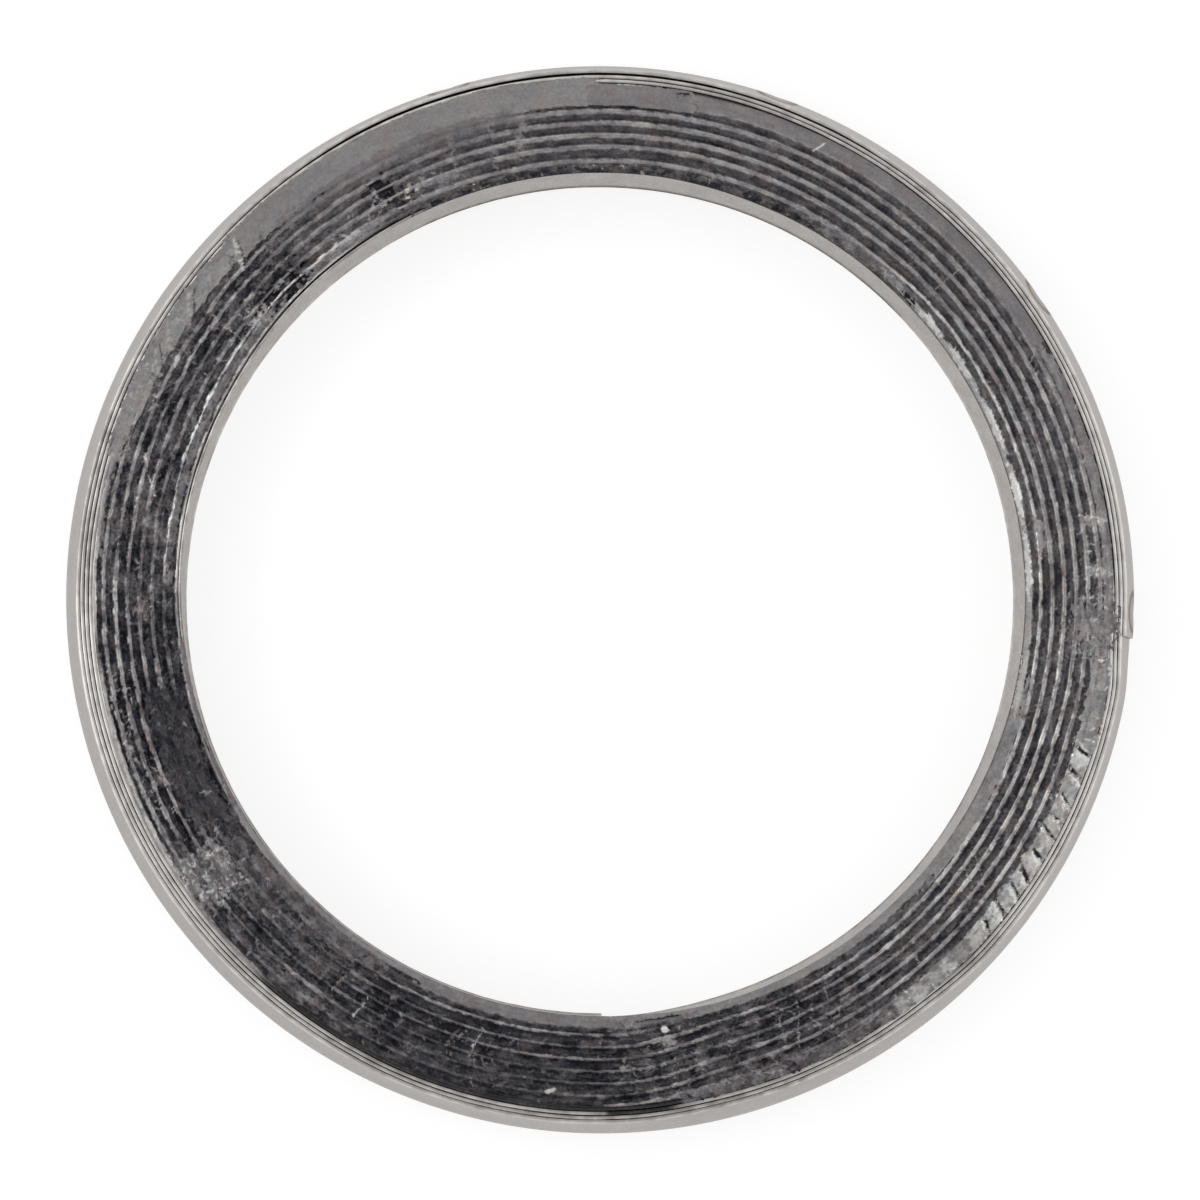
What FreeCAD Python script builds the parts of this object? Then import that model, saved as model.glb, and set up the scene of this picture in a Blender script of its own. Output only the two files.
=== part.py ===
import FreeCAD, Part
import math
import os

# A spiral-wound exhaust flange gasket. One stainless strip with a V section is wound flat on itself,
# and a graphite tape is wound in between its middle turns. The first and last turns are bare steel.
# Origin: the middle of the underside, +Z up. Lengths are in millimetres. Clock angles run clockwise
# from +Y, seen from above, in degrees, and the winding grows outward in the same sense.

# Driving dimensions: the section of the strip and of the tape
bore_radius = 27.10
winding_height = 5.3
vee_depth = 1.00
strip_thickness = 0.20
tape_thickness = 0.57
tape_recess = 0.10

# Driving dimensions: the turns, from the bore outward
inner_bare_turns = 2
filled_turns = 7
outer_bare_turns = 4

# Driving dimensions: where the turns step outward, and where the strip ends
step_start_angle = 162.0
step_span = 18.0
strip_end_angle = 94.5
end_step_span = 8.0

# Driving dimensions: how far turns stay pressed together where one leaves or meets the next
leaving_contact_span = 6.0
meeting_contact_span = 3.6
tape_tip_gap_span = 3.0

# Driving dimensions: the spot welds that hold the last turn, counted back from the strip's end
weld_count = 4
weld_setback = 2.8
weld_spacing = 36.2
weld_diameter = 1.4
weld_depth = 0.08

# Sizes that follow
pitch = strip_thickness + tape_thickness
step_end_angle = step_start_angle + step_span
full_turn = 360.0
quarter_turn = 90.0
up = FreeCAD.Vector(0, 0, 1)
centre = FreeCAD.Vector(0, 0, 0)


def clock_direction(angle):
    """Unit vector from the centre towards a clock angle."""
    turned = math.radians(angle)
    return FreeCAD.Vector(math.sin(turned), math.cos(turned), 0)


def vee_section(inner_radius, thickness, recess):
    """Corners of a V section, its point outward, as (distance from the centre, height).

    inner_radius is the section's inner edge at the gasket's faces, and recess is how far the section
    stops short of each face.
    """
    middle = winding_height / 2
    lean = vee_depth * recess / middle
    inner_side = [
        (inner_radius + lean, recess),
        (inner_radius + vee_depth, middle),
        (inner_radius + lean, winding_height - recess),
    ]
    outer_side = [(radius + thickness, height) for radius, height in reversed(inner_side)]
    return inner_side + outer_side


def section_face(section, direction):
    """A section stood upright along a flat direction from the centre."""
    corners = [direction * radius + up * height for radius, height in section]
    return Part.Face(Part.makePolygon(corners + corners[:1]))


def round_stretch(inner_radius, thickness, recess, first_angle, last_angle):
    """A stretch of a turn about the centre, clockwise from first_angle to last_angle."""
    section = vee_section(inner_radius, thickness, recess)
    return section_face(section, clock_direction(first_angle)).revolve(centre, up, first_angle - last_angle)


def step_stretch(inner_radius, thickness, recess, rise, first_angle, span):
    """A stretch that leads outward by rise: straight off one circle, then an arc onto the next.

    The straight length and the arc's centre don't depend on the radius, so the steps of neighbouring
    turns with the same rise and span nest.
    """
    turned = math.radians(span)
    offset = rise / (1 - math.cos(turned))
    run = clock_direction(first_angle + quarter_turn) * (offset * math.sin(turned))
    end = clock_direction(first_angle + span)
    lower = vee_section(inner_radius, thickness, recess)
    higher = vee_section(inner_radius + rise, thickness, recess)
    straight = section_face(lower, clock_direction(first_angle)).extrude(run)
    bend = section_face(higher, end).revolve(end * offset, up, span)
    return [straight, bend]


def strip_radii():
    """Inner radius of every turn of the strip at the gasket's faces, from the bore outward."""
    radii = [bore_radius + turn * strip_thickness for turn in range(inner_bare_turns)]
    for _ in range(filled_turns):
        radii.append(radii[-1] + pitch)
    for _ in range(outer_bare_turns):
        radii.append(radii[-1] + strip_thickness)
    return radii


def whole_turn(inner_radius, thickness, recess):
    """A turn from the end of one step to the start of the next."""
    return round_stretch(inner_radius, thickness, recess, step_end_angle, step_start_angle + full_turn)


def turn_step(inner_radius, thickness, recess, rise):
    """The stretch of a turn that leads to the next one."""
    return step_stretch(inner_radius, thickness, recess, rise, step_start_angle, step_span)


def joined(stretches):
    """One solid from stretches that meet face to face."""
    return stretches[0].multiFuse(stretches[1:]).removeSplitter().Solids[0]


def pressed_contact(radius, first_angle, last_angle):
    """Steel that closes the sharp end of the gap beside a step, where two turns are pressed together."""
    layer = turn_step(radius - strip_thickness / 2, strip_thickness, 0, pitch)
    window = round_stretch(radius - pitch, 2 * pitch, 0, first_angle, last_angle)
    return joined(layer).common(window).Solids


def weld_dimples():
    """Balls that press a shallow round mark into the last turn's ridge at each spot weld."""
    rim_radius = strip_radii()[-1] + strip_thickness + vee_depth
    ball_radius = (weld_diameter**2 / 4 + weld_depth**2) / (2 * weld_depth)
    reach = rim_radius - weld_depth + ball_radius
    balls = []
    for weld in range(weld_count):
        angle = strip_end_angle - weld_setback - weld * weld_spacing
        place = clock_direction(angle) * reach + up * (winding_height / 2)
        balls.append(Part.makeSphere(ball_radius, place))
    return Part.makeCompound(balls)


def steel_strip():
    """The V strip, from its blunt start in the bore to its welded end on the rim.

    Bare turns touch. The outer ones step over together just past the strip's end, so the rim stays
    round there.
    """
    radii = strip_radii()
    stepping = inner_bare_turns + filled_turns - 1
    stretches = []
    for inner, outer in zip(radii[:stepping], radii[1 : stepping + 1]):
        stretches.append(whole_turn(inner, strip_thickness, 0))
        stretches += turn_step(inner, strip_thickness, 0, outer - inner)
    end = strip_end_angle + full_turn
    first_angle = step_end_angle
    for inner in radii[stepping:]:
        stretches.append(round_stretch(inner, strip_thickness, 0, first_angle, end))
        first_angle = strip_end_angle + end_step_span
    for inner in radii[stepping:-1]:
        stretches += step_stretch(
            inner, strip_thickness, 0, strip_thickness, strip_end_angle, end_step_span
        )
    stretches += pressed_contact(
        radii[inner_bare_turns - 1], step_start_angle, step_start_angle + leaving_contact_span
    )
    stretches += pressed_contact(
        radii[stepping] - pitch + strip_thickness, step_end_angle - meeting_contact_span, step_end_angle
    )
    return joined(stretches).cut(weld_dimples()).Solids[0]


def tape_start():
    """The tape's thin beginning, squeezed in where the strip leaves its inner bare turns."""
    radius = bore_radius + (inner_bare_turns - 1) * strip_thickness
    tip_angle = step_start_angle + leaving_contact_span + tape_tip_gap_span
    below = joined(turn_step(radius - pitch, pitch, tape_recess, pitch))
    above = joined(turn_step(radius, pitch, tape_recess, strip_thickness))
    window = round_stretch(radius, pitch, tape_recess, tip_angle, step_end_angle)
    return below.common(above).common(window).Solids


def tape_finish(inner_radius):
    """The tape's last stretch: wider where the outer bare turns have stepped over, then thin again."""
    wide = tape_thickness + strip_thickness
    wide_from = strip_end_angle + end_step_span
    tip_angle = step_end_angle - meeting_contact_span - tape_tip_gap_span
    above = joined(turn_step(inner_radius, pitch, tape_recess, pitch))
    window = round_stretch(inner_radius, wide, tape_recess, step_start_angle, tip_angle)
    stretches = [
        round_stretch(inner_radius, tape_thickness, tape_recess, step_end_angle, wide_from + full_turn),
        round_stretch(inner_radius, wide, tape_recess, wide_from, step_start_angle),
    ]
    stretches += step_stretch(
        inner_radius, tape_thickness, tape_recess, strip_thickness, strip_end_angle, end_step_span
    )
    return stretches + above.common(window).Solids


def graphite_tape():
    """The tape, from the last inner bare turn to the first outer one, filling the space between turns."""
    radii = [radius + strip_thickness for radius in strip_radii()]
    first = inner_bare_turns - 1
    stretches = tape_start()
    for inner in radii[first : first + filled_turns - 1]:
        stretches.append(whole_turn(inner, tape_thickness, tape_recess))
        stretches += turn_step(inner, tape_thickness, tape_recess, pitch)
    stretches += tape_finish(radii[first + filled_turns - 1])
    return joined(stretches)


def main():
    """Write each piece to its own file."""
    os.makedirs("parts", exist_ok=True)
    for name, shape in (("steel_strip", steel_strip()), ("graphite_tape", graphite_tape())):
        shape.exportStep(f"parts/{name}.step")
        print(name, round(shape.Volume, 1), "mm3, valid", shape.isValid(), shape.BoundBox)


main()
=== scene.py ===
import logging
import math
from dataclasses import dataclass, field
from enum import Enum
from typing import Sequence

import bpy
import numpy as np
from mathutils import Matrix, Vector


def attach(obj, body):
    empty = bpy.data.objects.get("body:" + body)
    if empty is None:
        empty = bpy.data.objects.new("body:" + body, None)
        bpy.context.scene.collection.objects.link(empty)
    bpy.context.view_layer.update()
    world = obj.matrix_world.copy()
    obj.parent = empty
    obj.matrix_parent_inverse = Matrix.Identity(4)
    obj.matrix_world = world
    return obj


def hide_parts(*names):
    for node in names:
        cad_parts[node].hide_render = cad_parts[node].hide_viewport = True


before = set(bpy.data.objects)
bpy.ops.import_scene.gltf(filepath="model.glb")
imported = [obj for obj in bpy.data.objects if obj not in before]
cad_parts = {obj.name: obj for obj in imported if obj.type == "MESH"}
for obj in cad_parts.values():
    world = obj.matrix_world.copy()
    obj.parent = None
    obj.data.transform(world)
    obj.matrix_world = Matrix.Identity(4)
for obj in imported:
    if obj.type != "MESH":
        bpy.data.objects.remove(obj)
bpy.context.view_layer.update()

# Lengths in the dataclasses are millimetres and become metres where a mesh is made. Clock angles are
# degrees clockwise from +Y, seen from above. The strip winds outward in the same sense.

logging.basicConfig(level=logging.INFO, format="%(name)s %(message)s")
log = logging.getLogger("gasket")

# MEAN_RADIUS and LEAST_RADIUS, of the gasket's face, turn angles into lengths and back. FAR is a
# distance beyond any gap between turns and any halo round a weld.
MM = 0.001
TURN = 360.0
MEAN_RADIUS = 30.0
LEAST_RADIUS = 27.0
FAR = 9.0
SHARP_ANGLE = 50.0
WHITE = (1.0, 1.0, 1.0)
Array = np.ndarray
Socket = bpy.types.NodeSocket
Triple = tuple[float, float, float]
Value = Socket | float
Stops = Sequence[tuple[float, Triple]]


class Sheen(Enum):
    """How light a place shows, as a tone between 0, black, and 1, white, from rubbing and painted sheen,
    highlight and shade.
    """

    # The darkest tone is painted shade, for deep gaps and hollows. The brightest tones serve partly as
    # painted highlights and sheen.
    PAINTED_SHADE = 0.10
    SATIN = 0.515
    RUBBED = 0.58
    BRIGHT = 0.74
    FOIL = 0.92


def eased(share: Array) -> Array:
    """Smooth step from 0 to 1: 3s^2 - 2s^3 of the share held between 0 and 1."""
    held = np.clip(share, 0.0, 1.0)
    return held * held * (3.0 - 2.0 * held)


def blended(low: Array, high: Array, share: Array) -> Array:
    """Straight mix: low where share is 0, high where it is 1."""
    return low + (high - low) * share


def past(clock: Array, start: float) -> Array:
    """Degrees by which a clock angle lies past start, between -180 and 180."""
    return (np.asarray(clock) - start + TURN / 2) % TURN - TURN / 2


def arc_window(clock: Array, start: float, end: float, fade: float) -> Array:
    """1 between two clock angles and 0 outside them, fading over some degrees at both ends."""
    half = ((end - start) % TURN) / 2
    away = np.abs(past(clock, start + half))
    return eased((half - away) / max(fade, 1e-6) + 0.5)


@dataclass(frozen=True)
class Grain:
    """Repeatable noise on the ring's face that closes on itself after a whole turn.

    Random values sit on a lattice of cells round the ring by cells per millimetre across it. Between
    them the value is the smooth mix of its four neighbours, and each further octave halves the cells
    and the strength.
    """

    seed: int
    cells_round: int
    cells_across: float
    octaves: int = 1
    cells_deep: int = 64
    seeds_apart: int = 31

    def at(self, clock: Array, radius: Array) -> Array:
        """Noise between about -1 and 1.

        Args:
            clock: clock angles in degrees.
            radius: radii in millimetres, of a shape that broadcasts with clock.

        Returns:
            The noise, in the broadcast shape.
        """
        total = 0.0
        strength = 1.0
        for octave in range(self.octaves):
            scale = 2**octave
            around, depth = self.cells_round * scale, self.cells_deep * scale
            dice = np.random.default_rng(self.seed * self.seeds_apart + octave)
            table = dice.uniform(-1, 1, (around, depth))
            along = np.asarray(clock) / TURN * around
            across = np.asarray(radius) * self.cells_across * scale
            i, j = np.floor(along).astype(int), np.floor(across).astype(int)
            u, v = eased(along - i), eased(across - j)
            i, j, k, m = i % around, j % depth, (i + 1) % around, (j + 1) % depth
            near = blended(table[i, j], table[k, j], u)
            far = blended(table[i, m], table[k, m], u)
            total = total + blended(near, far, v) * strength
            strength *= 0.5
        return total


@dataclass(frozen=True)
class TurnGrain(Grain):
    """Noise along the turns: each reads its own row of the lattice, apart from the next one's."""

    apart: float = 4.0
    first: float = 1.5

    def along(self, clock: Array, turn: Array) -> Array:
        """Noise between about -1 and 1 for each clock angle and turn's number."""
        return self.at(clock, turn * self.apart + self.first)


SLOW_WANDER = TurnGrain(31, 64, 1.0, 1, apart=3.7)
QUICK_WANDER = TurnGrain(32, 190, 1.0, 3, apart=5.3, first=2.5)
RIDGE_SWELL = TurnGrain(15, 120, 1.0, 3, apart=4.3)
RIDGE_FADING = TurnGrain(16, 90, 1.0, 3, apart=6.1, first=2.5)
PATCHY_RUB = TurnGrain(23, 420, 1.0, 2, apart=4.1, first=3)
BROAD_RUB = TurnGrain(24, 60, 1.0, 1, apart=2.9, first=5)


@dataclass(frozen=True)
class Lean:
    """A stretch where the edges of turns stand outward at the faces, in millimetres."""

    start: float
    end: float
    shift: float
    fade: float = 20.0


RIM_LEANS = (
    Lean(318, 375, 0.15, 30),
    Lean(286, 318, 0.09),
    Lean(262, 286, 0.04),
    Lean(176, 206, 0.11),
    Lean(206, 262, 0.04),
    Lean(375, 436, -0.01),
    Lean(70, 96, 0.04),
    Lean(96, 138, 0.12, 10),
    Lean(138, 172, -0.09, 10),
)
BORE_LEANS = (Lean(170, 268, -0.17, 26), Lean(308, 374, 0.12))
LAST_TURN_LEANS = (Lean(325, 366, 0.12, 24), Lean(366, 392, 0.07))
EARLY_TURN_LEANS = (Lean(284, 332, 0.11, 16),)
THIRD_TURN_LEANS = (Lean(46, 88, 0.10, 10), Lean(332, 42, -0.14, 16), Lean(128, 166, 0.10, 16))
WANDERING = (Lean(236, 338, 0.040), Lean(60, 160, 0.010))


def leaning(leans: Sequence[Lean], clock: Array, base: float = 0.0) -> Array:
    """base, with the leans that cover each clock angle added to it."""
    return sum((lean.shift * arc_window(clock, lean.start, lean.end, lean.fade) for lean in leans), base)


@dataclass(frozen=True)
class Winding:
    """The spiral that the strip and the tape follow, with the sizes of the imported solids.

    rim_gap and next_gap are the hairlines that open between the last turn and the one inside it, and
    between those further in. fold is the share of half the height over which the V's fold is rounded.
    """

    bore_radius: float = 27.10
    height: float = 5.30
    vee_depth: float = 1.00
    strip_thickness: float = 0.20
    tape_thickness: float = 0.57
    inner_bare_turns: int = 2
    filled_turns: int = 7
    outer_bare_turns: int = 4
    step_start: float = 162.0
    step_span: float = 18.0
    strip_end: float = 94.5
    end_step_span: float = 8.0
    rim_gap: float = 0.06
    next_gap: float = 0.077
    fold: float = 0.05

    @property
    def start(self) -> float:
        """Running angle at which the strip starts."""
        return self.step_start + self.step_span

    @property
    def turns(self) -> int:
        """How many turns the strip makes, counting the last one that is cut short."""
        return self.inner_bare_turns + self.filled_turns + self.outer_bare_turns

    @property
    def pitch(self) -> float:
        """Distance from a filled turn to the next one."""
        return self.strip_thickness + self.tape_thickness

    @property
    def rises(self) -> list[float]:
        """How far each inner and filled turn steps outward."""
        return [self.strip_thickness] * (self.inner_bare_turns - 1) + [self.pitch] * self.filled_turns

    @property
    def end(self) -> float:
        """Running angle at which the strip ends."""
        return self.strip_end + TURN * self.turns

    def radius(self, running: Array) -> Array:
        """Inner radius of the strip at the faces, along its running angle.

        The bore radius plus every step that the strip has passed. A step rises with the square of
        the angle over its first half and settles the same way over its second.
        """
        running = np.asarray(running, float)
        total = np.full(running.shape, self.bore_radius)
        for turn, rise in enumerate(self.rises):
            first = self.step_start + TURN * (turn + 1)
            total += rise * self._step((running - first) / self.step_span)
        for turn in range(self.outer_bare_turns):
            first = self.strip_end + TURN * (len(self.rises) + 1 + turn)
            total += self.strip_thickness * self._step((running - first) / self.end_step_span)
        return total

    @staticmethod
    def _step(share: Array) -> Array:
        """Two parabolas back to back: 2s^2 up to a half, then 1 - 2(1-s)^2."""
        held = np.clip(share, 0.0, 1.0)
        return np.where(held < 0.5, 2 * held**2, 1 - 2 * (1 - held) ** 2)

    def running(self, turn: int, clock: Array) -> Array:
        """Running angle at which a turn, counted from 0 at the bore, passes a clock angle."""
        return self.start + TURN * turn + (np.asarray(clock) - self.start) % TURN

    def turn_at(self, running: Array) -> Array:
        """Number of the turn, counted from 0 at the bore, at each running angle."""
        return np.floor((running - self.start) / TURN)

    def wander(self, turn: Array, clock: Array) -> Array:
        """How far a turn's edge wanders from its circle at the faces, in millimetres.

        Two scales of noise along the turn. The middle turns were pushed about most along the left
        of the ring, and the bare ones hardly at all. The second and third turns also stand off.
        """
        turn = np.asarray(turn, float)
        noise = SLOW_WANDER.along(clock, turn) + 0.6 * QUICK_WANDER.along(clock, turn)
        pushed = leaning(WANDERING, clock, 0.022)
        last_filled = self.inner_bare_turns + self.filled_turns - 2
        bare = (turn < self.inner_bare_turns - 0.5) | (turn > last_filled)
        outward = leaning(EARLY_TURN_LEANS, clock) * ((turn > 0.5) & (turn < 2.5))
        outward = outward + leaning(THIRD_TURN_LEANS, clock) * (np.abs(turn - 2) < 0.5)
        return noise * np.where(bare, 0.010, pushed) + outward

    def splay(self, turn: Array, clock: Array) -> Array:
        """How far the bare turns' edges stand from their circles at the faces, in millimetres.

        At the rim the last turn leans as RIM_LEANS say, and each turn inside it stands a little
        further back, so that gaps open between them. At the bore both turns lean as BORE_LEANS say.
        Where a turn steps from the filled ones to the bare ones, or back, its share grows with the
        step.
        """
        radius = self.radius(self.running(turn, clock))
        last = self.bore_radius + sum(self.rises) + self.outer_bare_turns * self.strip_thickness
        inside = (last - radius) / self.strip_thickness
        at_rim = np.clip(1 - (inside - self.outer_bare_turns) * self.strip_thickness / self.pitch, 0, 1)
        back = self.rim_gap * np.minimum(inside, 1) + self.next_gap * np.clip(inside - 1, 0, 2)
        beyond = radius - self.bore_radius - (self.inner_bare_turns - 1) * self.strip_thickness
        at_bore = np.clip(1 - beyond / self.pitch, 0, 1)
        return at_rim * (leaning(RIM_LEANS, clock) - back) + at_bore * leaning(BORE_LEANS, clock)

    def nearest_turn(self, clock: Array, radius: Array, splayed: bool) -> tuple[Array, Array]:
        """The nearest turn's edge on the face.

        Args:
            clock: clock angles in degrees, one row each.
            radius: radii in millimetres, one column each.
            splayed: whether the bare turns' edges are splayed on this face.

        Returns:
            Distance outward across the face from the middle of that edge, and the turn's number.
        """
        nearest = np.full(np.broadcast(clock, radius).shape, FAR)
        number = np.zeros(nearest.shape)
        for turn in range(self.turns):
            running = self.running(turn, clock)
            middle = self.radius(running) + self.strip_thickness / 2 + self.wander(turn, clock)
            middle = middle + self.splay(turn, clock) * splayed
            away = np.where(running > self.end, FAR, radius - middle)
            closer = np.abs(away) < np.abs(nearest)
            nearest = np.where(closer, away, nearest)
            number = np.where(closer, turn, number)
        return nearest, number

    def lean(self, height: Array) -> Array:
        """How far the V section stands out at a height: vee_depth at half height, none at the faces.

        A hyperbola rounds the fold over about the strip's own thickness.
        """
        share = np.abs(np.asarray(height) / self.height * 2 - 1)
        edge = np.sqrt(1 + self.fold**2)
        return (edge - np.sqrt(share**2 + self.fold**2)) / (edge - self.fold) * self.vee_depth


@dataclass(frozen=True)
class RubAndLightRun:
    """A run of turns whose edges show one tone, between 0, black, and 1, white: rubbing together with a
    painted sheen on the crests, and painted shade in gaps where the tone is darkest.

    width makes their ridges narrower or wider than the skin's own.
    """

    first_turn: int
    last_turn: int
    start: float
    end: float
    tone: float
    fade: float = 12.0
    width: float = 1.0


RUB_AND_LIGHT_RUNS = (
    RubAndLightRun(2, 8, 318, 452, 0.555),
    RubAndLightRun(2, 8, 60, 92, 0.60),
    RubAndLightRun(2, 8, 92, 136, 0.70),
    RubAndLightRun(2, 8, 136, 150, 0.61),
    RubAndLightRun(2, 8, 150, 182, 0.50),
    RubAndLightRun(2, 8, 182, 212, 0.36),
    RubAndLightRun(2, 2, 92, 128, 0.74),
    RubAndLightRun(2, 2, 128, 168, 0.62),
    RubAndLightRun(2, 2, 165, 212, 0.60, 12.0, 1.15),
    RubAndLightRun(3, 4, 165, 205, 0.50),
    RubAndLightRun(2, 8, 212, 240, 0.48),
    RubAndLightRun(2, 4, 240, 318, 0.50),
    RubAndLightRun(5, 7, 240, 318, 0.60),
    RubAndLightRun(8, 8, 252, 286, 0.74),
    RubAndLightRun(2, 2, 38, 92, 0.78, 12.0, 0.6),
    RubAndLightRun(1, 2, 270, 325, 0.88, 5.0, 0.62),
    RubAndLightRun(0, 1, 250, 270, 0.60),
    RubAndLightRun(0, 0, 270, 334, 0.74),
    RubAndLightRun(0, 1, 334, 407, 0.30),
    RubAndLightRun(0, 1, 47, 110, 0.80),
    RubAndLightRun(0, 1, 110, 250, 0.52),
    RubAndLightRun(9, 12, 0, 359.9, 0.78),
    RubAndLightRun(9, 12, 350, 24, 0.78),
    RubAndLightRun(9, 12, 24, 62, 0.83),
    RubAndLightRun(9, 12, 62, 130, 0.92),
    # Painted shade: a dark line in the gap beside the first bare turn.
    RubAndLightRun(8, 9, 172, 222, 0.16, 6.0),
    RubAndLightRun(10, 12, 214, 232, 0.86),
    RubAndLightRun(9, 12, 230, 270, 0.92, 8.0),
    RubAndLightRun(9, 12, 270, 290, 0.72, 8.0),
    RubAndLightRun(8, 8, 222, 252, 0.60, 8.0),
    # Painted shade: a dark line in the gap beside the first bare turn.
    RubAndLightRun(9, 9, 6, 88, 0.12, 6.0),
)


def rubbed(turn: Array, clock: Array) -> tuple[Array, Array]:
    """Tone and width factor of a turn's ridge at a clock angle, from the runs above."""
    shape = np.broadcast(turn, clock).shape
    tone, width = np.full(shape, 0.40), np.ones(shape)
    for run in RUB_AND_LIGHT_RUNS:
        held = (turn >= run.first_turn) & (turn <= run.last_turn)
        share = held * arc_window(clock, run.start, run.end, run.fade)
        tone, width = blended(tone, run.tone, share), blended(width, run.width, share)
    return tone, width


@dataclass(frozen=True)
class SkinArc:
    """How the graphite skin looks over a stretch of the ring.

    tone is that of the raw graphite between turns, darkened partly as painted shade in the hollows.
    crinkle says how much the skin is crumpled there.
    The ridges along the turns have a half width and a soft border, in millimetres, and broken says
    how much their brightness comes and goes.
    """

    start: float
    end: float
    tone: float
    crinkle: float
    ridge_half: float
    ridge_soft: float
    broken: float


SKIN_ARCS = (
    SkinArc(345, 28, 0.295, 0.45, 0.165, 0.10, 0.10),
    SkinArc(28, 60, 0.310, 0.50, 0.160, 0.09, 0.12),
    SkinArc(60, 92, 0.33, 0.65, 0.155, 0.06, 0.15),
    SkinArc(92, 132, 0.315, 0.70, 0.125, 0.06, 0.25),
    SkinArc(132, 150, 0.310, 0.70, 0.115, 0.06, 0.30),
    SkinArc(150, 182, 0.255, 0.85, 0.085, 0.05, 0.40),
    SkinArc(182, 212, 0.210, 0.55, 0.070, 0.04, 0.25),
    SkinArc(212, 238, 0.275, 1.00, 0.085, 0.05, 0.45),
    SkinArc(238, 270, 0.200, 0.90, 0.130, 0.05, 0.40),
    SkinArc(270, 318, 0.285, 1.00, 0.110, 0.05, 0.35),
    SkinArc(318, 345, 0.350, 0.50, 0.150, 0.14, 0.25),
)


def skin_value(name: str, clock: Array) -> Array:
    """One value of the skin arcs at each clock angle, fading from arc to arc over 10 degrees."""
    total = np.zeros_like(clock)
    weight = np.zeros_like(clock)
    for arc in SKIN_ARCS:
        held = arc_window(clock, arc.start, arc.end, 10)
        total, weight = total + held * getattr(arc, name), weight + held
    return total / np.maximum(weight, 1e-6)


@dataclass(frozen=True)
class Smear:
    """A stretch of face where graphite has been pressed flat over the strip's edges. Its tone is partly the
    pressed graphite's own and partly a painted sheen, the reflection of the surroundings.

    cover says how much it hides, ragged and fade how torn its sides and ends are, and rim how much
    lighter its border is than the rest.
    """

    start: float
    end: float
    inner: float
    outer: float
    sheen: float = Sheen.SATIN.value
    cover: float = 1.0
    ragged: float = 0.10
    fade: float = 0.8
    crinkle: float = 0.05
    inner_soft: float = 0.10
    outer_soft: float = 0.10
    rim: float = 0.0

    def mask(self, clock: Array, radius: Array, wander: Array) -> Array:
        """How far each point of the face is covered, between 0 and 1.

        The product of a window over the clock angles and a band between two radii, both moved by
        the wander noise so that the border is ragged.
        """
        along = arc_window(clock + wander * self.fade, self.start, self.end, self.fade)
        rise = eased((radius - self.inner + wander * self.ragged) / self.inner_soft + 0.5)
        fall = eased((self.outer - radius + wander * self.ragged) / self.outer_soft + 0.5)
        return along * rise * fall * self.cover


@dataclass(frozen=True)
class Mark:
    """A thin scratch, crease or fleck between two places on the face.

    lift raises or sinks it, in millimetres, and cover says how much it hides. wobble is how far its
    line strays, and broken how much its width comes and goes.
    """

    clock: float
    radius: float
    to_clock: float
    to_radius: float
    width: float = 0.12
    sheen: float = Sheen.BRIGHT.value
    lift: float = 0.02
    cover: float = 1.0
    wobble: float = 0.06
    broken: float = 0.3

    def reach(self) -> tuple[float, float]:
        """Degrees before and after its own clock angle within which it shows."""
        span = float(past(self.to_clock, self.clock))
        margin = math.degrees((self.width * 2 + 0.4) / LEAST_RADIUS)
        return min(0.0, span) - margin, max(0.0, span) + margin

    def mask(self, clock: Array, radius: Array, wander: Array, other: Array) -> Array:
        """1 on the line between the two ends and 0 from its width on.

        The face is unrolled near the mark: arc length by radius, both moved a little by noise, with
        the distance from the segment measured there. More noise widens and breaks the line.
        """
        per_degree = math.radians(1) * (self.radius + self.to_radius) / 2
        x = past(clock, self.clock) * per_degree + other * self.wobble
        y = radius - self.radius + wander * self.wobble
        run = float(past(self.to_clock, self.clock)) * per_degree
        rise = self.to_radius - self.radius
        length = max(run**2 + rise**2, 1e-9)
        share = np.clip((x * run + y * rise) / length, 0, 1)
        away = np.hypot(x - share * run, y - share * rise)
        width = self.width * np.maximum(1 + self.broken * (wander - other) * 1.5, 0.2)
        return eased(1.25 - away / width * 1.25)


@dataclass(frozen=True)
class Blotch:
    """A patch with a torn outline: a pit, a stain, a knob or a flake of foil.

    along and across are its half lengths round the ring and outward, turned by lean degrees. torn
    says how ragged its outline is, and soft how wide its border.
    """

    clock: float
    radius: float
    along: float
    across: float
    sheen: float
    lift: float = 0.0
    cover: float = 1.0
    torn: float = 0.55
    lean: float = 0.0
    soft: float = 0.3

    def reach(self) -> tuple[float, float]:
        """Degrees before and after its own clock angle within which it shows."""
        margin = math.degrees(max(self.along, self.across) * (1.6 + self.torn) / LEAST_RADIUS)
        return -margin, margin

    def mask(self, clock: Array, radius: Array, wander: Array, other: Array) -> Array:
        """1 inside an ellipse on the unrolled face and 0 outside, its outline torn by noise."""
        x = past(clock, self.clock) * math.radians(1) * self.radius
        y = radius - self.radius
        turned = math.radians(self.lean)
        u = (x * math.cos(turned) + y * math.sin(turned)) / self.along
        v = (y * math.cos(turned) - x * math.sin(turned)) / self.across
        away = np.hypot(u, v) + (wander + other) * self.torn
        return eased((1 - away) / self.soft + 0.5)


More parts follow.
